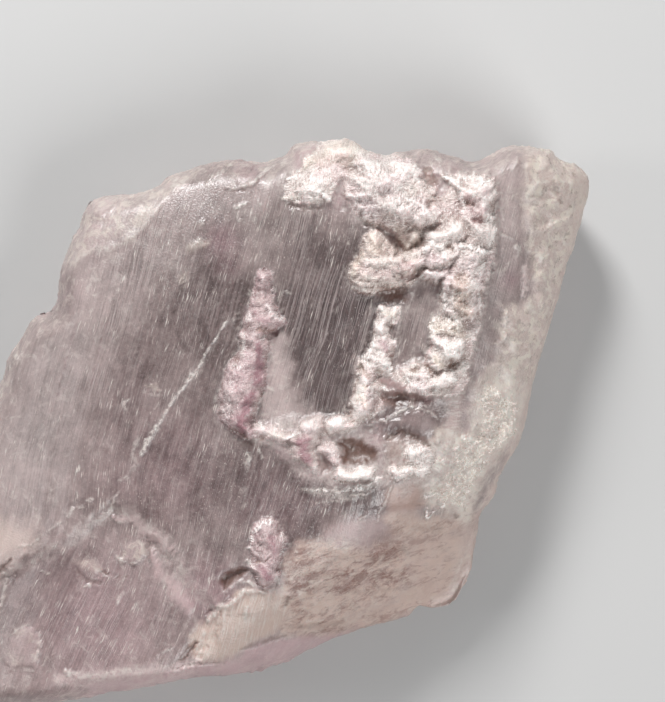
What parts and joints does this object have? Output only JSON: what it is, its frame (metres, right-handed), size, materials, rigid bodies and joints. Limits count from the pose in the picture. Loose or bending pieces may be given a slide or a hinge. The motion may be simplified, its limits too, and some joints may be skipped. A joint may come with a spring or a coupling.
{
  "type": "kunzite crystal",
  "caption": "Rough, etched kunzite crystal lying on its flat back: a pale pink, striated prism with bevelled edges and a sugary crust standing on its broad face.",
  "frame": {"origin": "centre of the bounding box's bottom, on the surface that the flat back lies on", "axes": "+Z out of the broad striated face, away from the flat back; +Y roughly along the striations, which lean 17 degrees from it towards +X, towards the end with the crust's thick mass; +X to the right when looking down on the broad face"},
  "size_m": [0.0658, 0.0582, 0.0173],
  "materials": {
    "kunzite": "pale pink to mauve, translucent, etched silky along the striations and sugary on the crust"
  },
  "bodies": {
    "root": {"crystal": "kunzite"}
  },
  "joints": []
}
